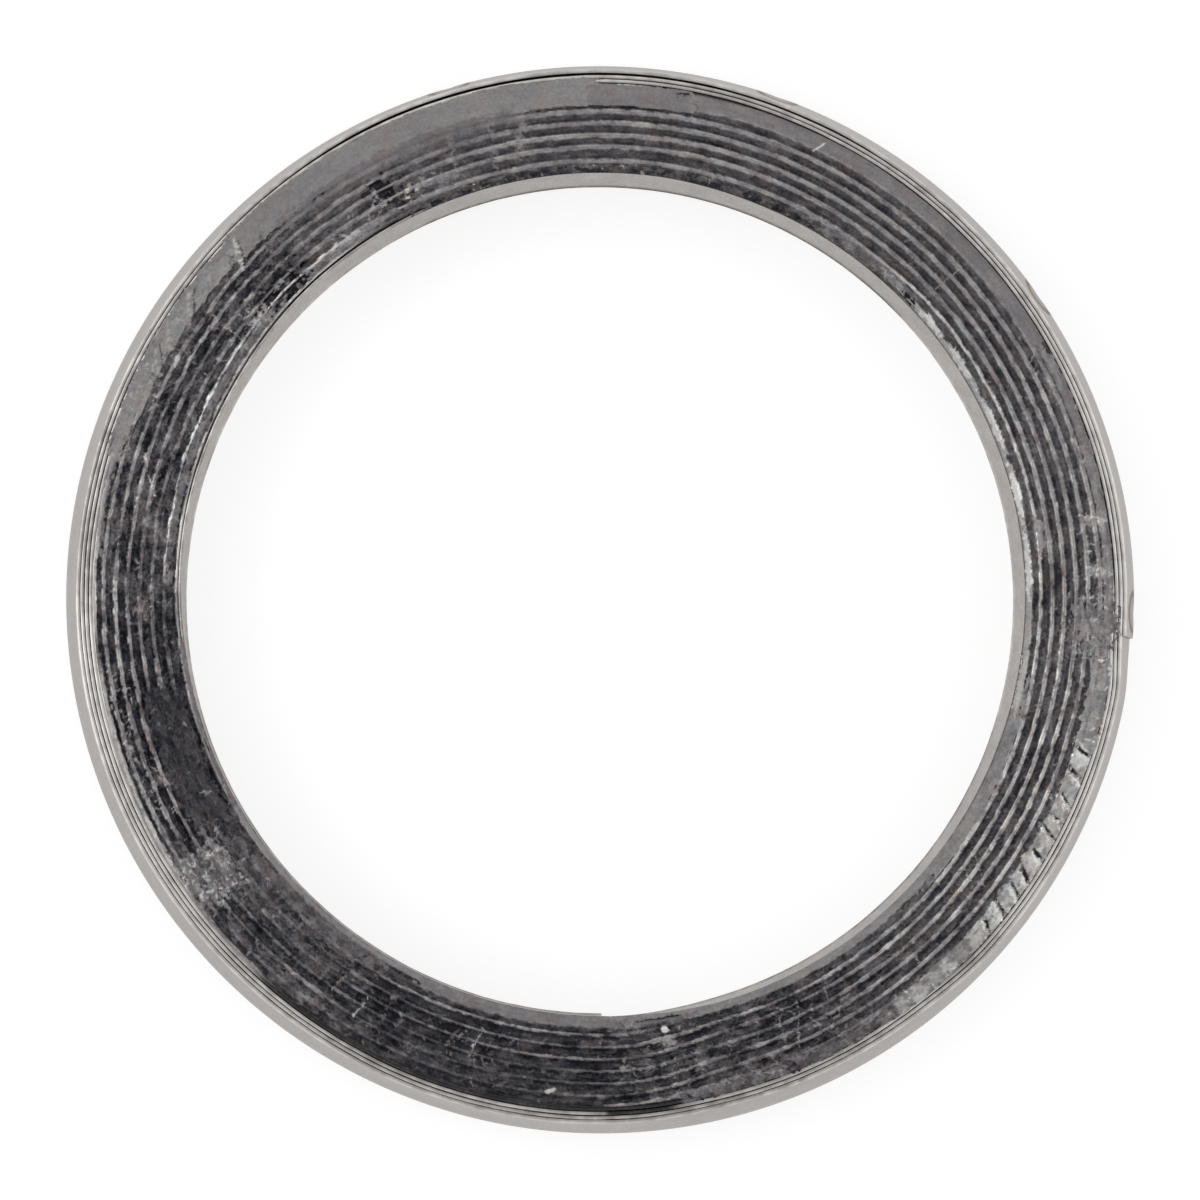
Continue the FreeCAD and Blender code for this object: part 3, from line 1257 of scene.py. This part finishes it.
@dataclass
class GraphiteTape:
    """The wound tape, with the graphite pressed over its turns, in sectors that meet face to face.

    inner and outer bound the relief on the faces. tucked is how far the sides stay behind the bare
    turns, lip the thickness of the film at the bore, and side_tone and lip_tone their tone.
    """

    winding: Winding
    upper: GraphiteFace
    lower: GraphiteFace
    sectors: int = 6
    first: float = 10.5
    samples_per_sector: int = 450
    upper_rows: int = 92
    lower_rows: int = 25
    inner: float = 27.13
    outer: float = 33.50
    tucked: float = 0.30
    lip: float = 0.13
    side_heights: Sequence[float] = (4.4, 2.65, 0.9)
    side_tone: float = 0.2
    lip_tone: float = 0.45

    def build(self, finish: bpy.types.Material) -> list[bpy.types.Object]:
        """Every sector, dressed and riding on the gasket."""
        span = TURN / self.sectors
        made = []
        for sector in range(self.sectors):
            start = self.first + sector * span
            piece = self._sector(f"tape_sector_{sector + 1}", start, start + span)
            piece.data.materials.append(finish)
            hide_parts("graphite_tape")
            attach(piece, "root")
            made.append(piece)
        return made

    def _sector(self, name: str, start: float, end: float) -> bpy.types.Object:
        """One sector as a tube of closed loops.

        A loop runs outward over the upper relief, down the rim side along the V, inward under the
        lower relief and up the bore side, which ends in a thin lip. The relief leans along the V where
        it lies deep, and the sides are tucked in behind the bare turns. The loops follow each other by
        clock angle.
        """
        w = self.winding
        clock = np.linspace(start, end, self.samples_per_sector + 1)[:, None]
        inner = self.inner + leaning(BORE_LEANS, clock)
        low_inner = self.inner + w.radius(w.running(0, clock)) - w.bore_radius
        outer = self.outer - w.radius(np.array([w.end])) + w.radius(w.end - (w.end - clock) % TURN)
        top_radius = blended(inner, outer, np.linspace(0, 1, self.upper_rows)[None, :])
        low_radius = blended(outer, low_inner, np.linspace(0, 1, self.lower_rows)[None, :])
        top = self.upper.relief(clock, top_radius)
        low = self.lower.relief(clock, low_radius)
        side = np.ones_like(clock) * np.array([self.side_heights])
        upper, lower = w.height + top.height, -low.height
        lip = upper[:, :1] - self.lip
        sunk = self.inner + self.tucked
        loop = [
            top_radius + np.maximum(w.lean(upper), 0),
            self.outer - self.tucked + w.lean(side),
            low_radius + np.maximum(w.lean(lower), 0),
            sunk + w.lean(side[:, ::-1]),
            sunk + w.lean(lip),
        ]
        radius = np.concatenate(loop, 1)
        height = np.concatenate([upper, side, lower, side[:, ::-1], lip], 1)
        rings, around = radius.shape
        caps = [np.arange(around)[::-1], np.arange(around) + (rings - 1) * around]
        quads = tube_quads(rings, around)[:, ::-1]
        made = smooth_mesh(name, ring_points(clock, radius, height), quads, caps)
        hidden, edge = np.full_like(side, self.side_tone), np.full_like(lip, self.lip_tone)
        for value in ("burnish_and_painted_light", "crinkle"):
            above = np.broadcast_to(getattr(top, value), top.height.shape)
            below = np.broadcast_to(getattr(low, value), low.height.shape)
            set_attribute(made, value, np.concatenate([above, hidden, below, hidden, edge], 1))
        set_uv(made, clock, radius)
        return made


def upper_wear() -> Wear:
    """The marks on the face that the photograph shows, placed by clock angle and radius."""
    painted_shade, satin, rubbed, bright, foil = (sheen.value for sheen in Sheen)
    smears = [
        Smear(313, 360, 31.60, 33.46, 0.555, 1.0, 0.10, 1.5, rim=0.06),
        Smear(358, 370.5, 31.60, 33.02, satin, 1.0, 0.05, 0.5, rim=0.06),
        Smear(319, 350, 30.9, 31.9, 0.47, 0.85, 0.15, 8.0, inner_soft=1.8),
        Smear(370.5, 420, 31.98, 32.91, satin, 0.95, 0.03, 0.3, inner_soft=0.25),
        Smear(60, 92, 32.25, 32.93, 0.55, 0.9, 0.08, 2.0, 0.4, inner_soft=0.3),
        Smear(91.5, 96.5, 30.2, 33.30, 0.53, 0.8, 0.9, 2.6, 0.8),
        Smear(284, 332, 27.24, 27.46, 0.46, 0.55, 0.02, 4.0),
        Smear(97, 108, 31.7, 33.15, 0.64, 0.85, 0.2, 1.5, 0.6),
        Smear(107, 132, 31.85, 33.05, 0.62, 1.0, 0.08, 1.0, 0.6),
        Smear(132, 146, 31.85, 33.00, 0.50, 1.0, 0.10, 1.0, 0.5),
        Smear(145, 171.5, 32.1, 32.92, 0.40, 0.9, 0.12, 1.0, 1.0),
        Smear(214, 238, 27.6, 29.7, 0.30, 0.6, 0.35, 3.0, 0.9),
        Smear(239, 258, 27.6, 30.1, 0.245, 0.92, 0.25, 2.5, 0.5),
        Smear(286, 296, 32.2, 33.20, 0.55, 0.9, 0.20, 2.0, 0.3),
        Smear(290, 314, 31.85, 33.26, 0.575, 0.95, 0.12, 2.0, 0.25),
        Smear(275, 291, 32.3, 32.95, 0.60, 0.6, 0.25, 3.0),
        Smear(103, 132, 27.10, 28.02, 0.575, 0.95, 0.05, 5.0, 0.3),
        Smear(95, 106, 27.24, 27.66, 0.76, 0.9, 0.05, 3.0, 0.3),
        Smear(126, 150, 27.04, 27.62, 0.58, 0.95, 0.06, 3.0, 0.2),
        Smear(140, 180.5, 26.94, 27.64, 0.575, 0.95, 0.05, 3.0, 0.2),
        Smear(168, 200, 27.30, 27.80, 0.37, 0.7, 0.12, 3.0, 0.5),
        Smear(179, 240, 26.94, 27.34, 0.57, 0.95, 0.03, 3.0, 0.1),
        Smear(177, 206, 26.94, 27.72, 0.52, 0.95, 0.10, 3.0, 0.2),
        Smear(211, 232, 27.30, 28.10, 0.41, 0.8, 0.10, 3.0, 0.5),
        Smear(334, 392, 27.16, 27.75, 0.28, 0.9, 0.06, 3.0, 1.0),
        Smear(390, 407, 27.16, 27.95, 0.46, 0.8, 0.10, 4.0, 0.7),
        Smear(47, 98, 27.14, 27.62, 0.66, 0.95, 0.08, 1.0, 0.3),
        Smear(44, 124, 27.02, 27.21, 0.40, 0.9, 0.02, 3.0, 0.1),
        Smear(272, 330, 27.62, 28.15, 0.49, 0.7, 0.12, 5.0, 0.9),
        Smear(236, 250, 26.94, 27.20, 0.52, 0.8, 0.06, 3.0),
        Smear(250, 264, 26.98, 27.36, 0.58, 0.8, 0.10, 3.0),
        Smear(238, 262, 32.36, 32.62, 0.80, 0.7, 0.06, 5.0, 0.7),
        Smear(231.5, 237.5, 29.3, 32.6, 0.50, 0.6, 0.4, 1.6, 1.0),
    ]
    marks = [
        # Painted shade: a dark line in the gap between the smear and the bare turns.
        Mark(8.3, 32.72, 9.6, 32.84, 0.14, painted_shade),
        Mark(10.4, 31.5, 10.0, 32.8, 0.09, 0.57, 0.02, 0.6, 0.15, 0.6),
        Mark(10.9, 31.7, 10.6, 32.4, 0.08, 0.38, -0.02, 0.6, 0.10, 0.6),
        Mark(25.2, 31.75, 26.1, 32.55, 0.07, foil, wobble=0.02, broken=0.1),
        Mark(47.2, 29.1, 47.6, 31.9, 0.05, rubbed),
        Blotch(43, 27.6, 0.9, 0.22, rubbed),
        # Painted shade between the light knobs along the bore.
        Blotch(46, 27.5, 0.45, 0.25, painted_shade),
        Blotch(50.0, 27.50, 1.1, 0.22, 0.84, 0.02, 1.0, 0.4),
        Blotch(57.5, 27.48, 1.7, 0.20, 0.80, 0.02, 1.0, 0.4),
        Blotch(66.5, 27.48, 1.9, 0.20, 0.84, 0.02, 1.0, 0.4),
        Blotch(76.0, 27.45, 1.8, 0.20, 0.90, 0.02, 1.0, 0.4),
        Blotch(86.5, 27.42, 2.0, 0.18, 0.86, 0.02, 1.0, 0.4),
        # Painted shade between the knobs.
        Blotch(53.4, 27.62, 0.30, 0.14, 0.30),
        Blotch(62.0, 27.62, 0.30, 0.14, 0.30),
        Blotch(71.3, 27.62, 0.30, 0.14, 0.30),
        Blotch(81.0, 32.3, 0.35, 0.85, rubbed, 0.03, 0.9, 0.8, 10.0),
        Mark(80.3, 31.0, 81.6, 32.95, 0.13, bright, wobble=0.22, broken=0.8),
        Blotch(87.2, 32.2, 0.35, 0.95, rubbed, 0.03, 0.9, 0.8, 10.0),
        Mark(86.4, 31.0, 87.8, 32.95, 0.13, bright, wobble=0.22, broken=0.8),
        Mark(74.0, 31.9, 75.3, 32.9, 0.08, rubbed, wobble=0.15, broken=0.8),
        Mark(77.0, 31.9, 77.4, 32.9, 0.08, rubbed, wobble=0.15, broken=0.8),
        Blotch(82.0, 28.5, 0.9, 0.45, 0.56, 0.02),
        Blotch(94.5, 31.5, 0.8, 1.5, 0.54, 0.01, 0.8, 0.9),
        Mark(124.5, 28.7, 127.5, 30.8, 0.06, rubbed, wobble=0.12, broken=0.8),
        Mark(127.0, 28.9, 128.3, 30.2, 0.05, rubbed, wobble=0.12, broken=0.8),
        Mark(138.2, 29.8, 139.8, 31.4, 0.05, rubbed, wobble=0.12, broken=0.8),
        Mark(154.5, 28.8, 156.8, 31.6, 0.06, rubbed, wobble=0.12, broken=0.8),
        Mark(157.3, 29.0, 158.2, 31.2, 0.05, rubbed, wobble=0.12, broken=0.8),
        # Painted shade: a dark line in a gap at the bore.
        Mark(170.0, 27.3, 176.0, 27.42, 0.07, painted_shade),
        Blotch(177.0, 27.6, 0.75, 0.42, 0.45),
        Blotch(172.0, 28.1, 0.22, 0.24, foil, 0.05, 1.0, 0.25),
        Blotch(171.6, 28.8, 0.35, 0.25, rubbed, 0.02, 0.9, 0.7),
        # Painted shade: a dark line in the gap at the rim.
        Mark(180, 32.85, 206, 32.85, 0.08, painted_shade),
        Blotch(186.1, 31.85, 0.30, 0.10, bright, 0.03, 1.0, 0.5, 30.0),
        Mark(195.6, 28.8, 196.4, 30.9, 0.05, bright, wobble=0.12, broken=0.9),
        Mark(197.4, 29.2, 199.0, 30.4, 0.05, rubbed, wobble=0.12, broken=0.9),
        Mark(210.3, 29.9, 210.6, 31.4, 0.05, bright, wobble=0.12, broken=0.9),
        Mark(214.0, 29.5, 214.6, 30.7, 0.06, rubbed, wobble=0.12, broken=0.9),
        Mark(282.2, 29.4, 286.8, 30.8, 0.07, bright, wobble=0.10, broken=0.7),
        Mark(305.0, 28.2, 305.5, 30.9, 0.05, rubbed, wobble=0.10, broken=0.7),
        # Wrinkles in the smear: a painted highlight on each crest, some with a painted shadow beside it.
        Mark(296.0, 31.7, 298.6, 32.8, 0.13, 0.66, 0.03, wobble=0.10, broken=0.8),
        Mark(296.9, 31.7, 299.4, 32.7, 0.07, 0.26, -0.02, wobble=0.08, broken=0.6),
        Mark(299.0, 31.8, 301.8, 32.9, 0.14, 0.64, 0.03, wobble=0.10, broken=0.8),
        Mark(303.2, 31.8, 305.8, 32.9, 0.14, 0.68, 0.03, wobble=0.10, broken=0.8),
        Mark(304.1, 31.8, 306.6, 32.8, 0.06, 0.28, -0.02, wobble=0.08, broken=0.6),
        Mark(292.6, 32.3, 293.6, 32.7, 0.09, bright, 0.03, wobble=0.20, broken=0.8),
        Mark(291.2, 32.2, 291.5, 32.6, 0.07, bright, 0.03, wobble=0.20, broken=0.8),
        Mark(312.0, 31.2, 313.6, 32.9, 0.16, 0.80, 0.04, wobble=0.30, broken=1.0),
        Mark(312.9, 31.4, 314.2, 32.8, 0.07, 0.22, -0.03, wobble=0.20, broken=0.8),
        Blotch(309.5, 28.4, 0.8, 0.65, 0.60, 0.02, 0.9, 0.8),
        Blotch(314.0, 28.5, 1.3, 0.75, 0.12, -0.04, 0.95, 0.8),
        Blotch(331.2, 29.5, 0.85, 0.75, 0.14, -0.04, 0.95, 0.7),
        Blotch(333.0, 28.6, 0.75, 0.45, 0.17, -0.04, 0.9, 0.7),
        Mark(328.2, 28.7, 330.2, 29.5, 0.09, 0.62, 0.03, 0.95, 0.06, 0.5),
        Mark(328.6, 28.5, 331.0, 29.3, 0.07, 0.55, 0.03, 0.95, 0.06, 0.5),
        Mark(329.3, 28.4, 331.6, 29.0, 0.07, 0.68, 0.03, 0.95, 0.06, 0.5),
        Blotch(334.0, 28.9, 0.28, 0.16, 0.78, 0.03, 1.0, 0.5, 25.0),
        Blotch(333.6, 28.5, 0.20, 0.12, 0.84, 0.03, 1.0, 0.5, -20.0),
        Blotch(335.3, 28.7, 0.16, 0.12, 0.72, 0.03, 1.0, 0.5),
        Blotch(325.4, 28.2, 0.55, 0.25, 0.68, 0.03, 0.9, 0.7, -10.0),
        Blotch(338.7, 28.7, 0.9, 0.22, 0.55, 0.02, 0.8, 0.6),
        Mark(341.0, 28.6, 341.3, 31.2, 0.22, 0.52, 0.02, 0.8, 0.22, 0.8),
        Mark(345.8, 28.6, 346.2, 31.3, 0.18, satin, 0.02, 0.7, 0.22, 0.8),
        Mark(349.0, 28.8, 350.2, 31.5, 0.26, 0.52, 0.02, 0.8, 0.22, 0.8),
    ]
    groups = [
        # Painted highlights: light creases across the turns.
        Scatter(231, 238, 29.2, 32.6, 150, 0.03, 0.30, 0.40, 0.84, 0.08, 21),
        # Painted highlights on the wrinkles of the smear.
        Scatter(288, 313, 32.0, 33.1, 60, 0.10, 0.45, 0.46, 0.74, 0.06, 22),
        Scatter(243, 262, 30.6, 32.4, 70, 0.05, 0.25, 0.42, 0.72, 0.075, 23),
        Scatter(322, 341, 28.0, 29.6, 50, 0.05, 0.30, 0.35, 0.66, 0.07, 24),
        Scatter(82, 98, 30.6, 33.2, 120, 0.03, 0.28, 0.46, 0.84, 0.08, 25),
        Pleats(107, 132.5, 31.85, 33.22, 2.45, 0.9, 0.66, 0.95, 0.13),
        Pleats(131, 146, 31.9, 33.20, 2.1, 0.6, 0.42, 0.84, 0.0),
        # Painted highlights, with some duller scratches, over the pleats.
        Scatter(97, 146, 31.9, 33.15, 70, 0.1, 0.7, 0.40, 0.98, 0.06, 16),
        Scatter(170, 330, 27.7, 32.5, 150, 0.05, 0.35, 0.35, 0.62),
        Scatter(148, 178, 28.2, 32.9, 60, 0.3, 1.5, 0.40, 0.58, 0.05, 6),
        Scatter(145, 172, 31.9, 33.1, 50, 0.05, 0.3, 0.10, 0.60, 0.08, 12),
        Scatter(186, 224, 28.5, 32.8, 90, 0.2, 0.9, 0.30, 0.46, 0.06, 7),
        Scatter(238, 275, 28.0, 32.0, 40, 0.1, 0.6, 0.30, 0.48, 0.06, 13),
        Scatter(92, 140, 28.2, 31.8, 50, 0.1, 0.6, 0.40, 0.62, 0.05, 14),
        Scatter(20, 92, 28.0, 31.8, 50, 0.1, 0.4, 0.35, 0.55, 0.05, 15),
        Scatter(222, 240, 28.0, 32.8, 40, 0.2, 0.7, 0.40, 0.60, 0.07, 8),
        Scatter(283, 316, 28.0, 32.2, 44, 0.3, 1.1, 0.38, 0.52, 0.06, 9),
        Scatter(336, 22, 27.3, 27.8, 26, 0.05, 0.2, 0.45, 0.80, 0.05, 10),
        Scatter(60, 93, 31.2, 33.0, 26, 0.2, 0.7, 0.50, 0.64, 0.06, 11),
    ]
    return Wear(smears, groups, marks)


def lower_wear() -> Wear:
    """Marks for the hidden face, of the same kinds in other places."""
    kept = upper_wear()
    return Wear(kept.smears[:12], kept.groups[1:6], kept.marks[10:30])


@dataclass
class Studio:
    """The floor, lamps and camera around the gasket."""

    eye: Triple = (-8.1, -11.4, 245.0)
    aim: Triple = (-0.17, -0.24, 2.65)
    lens: float = 112.2
    floor_side: float = 6000.0

    def floor(self) -> bpy.types.Object:
        """A wide pale floor under the gasket that reads as white and keeps a soft shadow."""
        half = self.floor_side / 2
        sides = ((-1, -1), (1, -1), (1, 1), (-1, 1))
        corners = np.array([(x * half, y * half, 0.0) for x, y in sides])
        made = smooth_mesh("floor", corners, np.array([[0, 1, 2, 3]]))
        made.data.materials.append(PaleFloor().build())
        return made

    def world(self) -> None:
        """A plain soft surround, white all round and dimmer straight overhead, white to the camera."""
        world = bpy.data.worlds.new("surround")
        bpy.context.scene.world = world
        world.use_nodes = True
        nodes = Nodes(world.node_tree)
        place = nodes.add("TexCoord").outputs["Generated"]
        rise = nodes.add("SeparateXYZ", {"Vector": place}).outputs["Z"]
        dimming = {"Value": rise, "From Min": 0.70, "From Max": 0.97, "To Min": 0.95, "To Max": 0.45}
        dome = nodes.add("MapRange", dimming, interpolation_type="SMOOTHSTEP").outputs["Result"]
        seen = nodes.add("LightPath").outputs["Is Camera Ray"]
        shade = world.node_tree.nodes["Background"]
        nodes.feed(shade.inputs["Color"], (*WHITE, 1.0))
        nodes.feed(shade.inputs["Strength"], nodes.math("MAXIMUM", seen, dome))

    def lamp(self, name: str, place: Triple, size: float, watts: float) -> bpy.types.Object:
        """A square soft box aimed at the gasket."""
        light = bpy.data.lights.new(name, "AREA")
        light.shape = "SQUARE"
        light.size = size * MM
        light.energy = watts
        made = bpy.data.objects.new(name, light)
        made.location = Vector(place) * MM
        made.rotation_mode = "QUATERNION"
        made.rotation_quaternion = (-Vector(place)).to_track_quat("-Z", "Y")
        bpy.context.scene.collection.objects.link(made)
        return made

    def camera(self) -> bpy.types.Object:
        """The camera: its z axis points back from the aim to the eye, and its y axis up the picture."""
        eye, aim = Vector(self.eye) * MM, Vector(self.aim) * MM
        back = (eye - aim).normalized()
        right = Vector((0.0, 1.0, 0.0)).cross(back).normalized()
        up = back.cross(right)
        data = bpy.data.cameras.new("camera")
        data.lens = self.lens
        data.sensor_width = 36.0
        data.clip_start = 0.01
        data.clip_end = 20.0
        made = bpy.data.objects.new("camera", data)
        turned = Matrix((right, up, back)).transposed().to_4x4()
        made.matrix_world = Matrix.Translation(eye) @ turned
        bpy.context.scene.collection.objects.link(made)
        bpy.context.scene.camera = made
        return made

    def build(self) -> None:
        """Set the stage: floor, surround, two side soft boxes, a weak top one, and the camera."""
        self.floor()
        self.world()
        self.lamp("left_box", (-520.0, 90.0, 330.0), 420.0, 0.85)
        self.lamp("right_box", (520.0, 60.0, 330.0), 420.0, 0.18)
        self.lamp("top_box", (-120.0, 420.0, 520.0), 380.0, 0.12)
        self.camera()
        bpy.context.scene.view_settings.view_transform = "Standard"


def main() -> None:
    """Build the gasket from the bore outward, then the stage."""
    winding = Winding()
    steel = RolledSteel().build()
    graphite = BurnishedGraphite().build()
    bare_end = winding.start + TURN * winding.inner_bare_turns
    rim_start = winding.start + TURN * (winding.inner_bare_turns + winding.filled_turns - 1)
    coarse = (0.03, 0.8, 2.4, 2.65, 2.9, 4.5, 5.27)
    close = (0.03, 1.0, 2.45, 2.65, 2.85, 3.2, 3.6, 4.0, 4.5, 5.0, 5.27)
    runs = (
        StripTurns("strip_inner_turns", winding, winding.start, bare_end),
        StripTurns("strip_middle_turns", winding, bare_end, rim_start, 360, heights=coarse),
        StripTurns("strip_outer_turns", winding, rim_start, winding.end, flare=0.046, heights=close),
    )
    upper = GraphiteFace(winding, upper_wear())
    lower = GraphiteFace(winding, lower_wear(), turned=140.0, splayed=False)
    pieces = [run.build(steel) for run in runs] + GraphiteTape(winding, upper, lower).build(graphite)
    for piece in pieces:
        log.info("%s: %d faces", piece.name, len(piece.data.polygons))
    Studio().build()


if __name__ == "__main__":
    main()
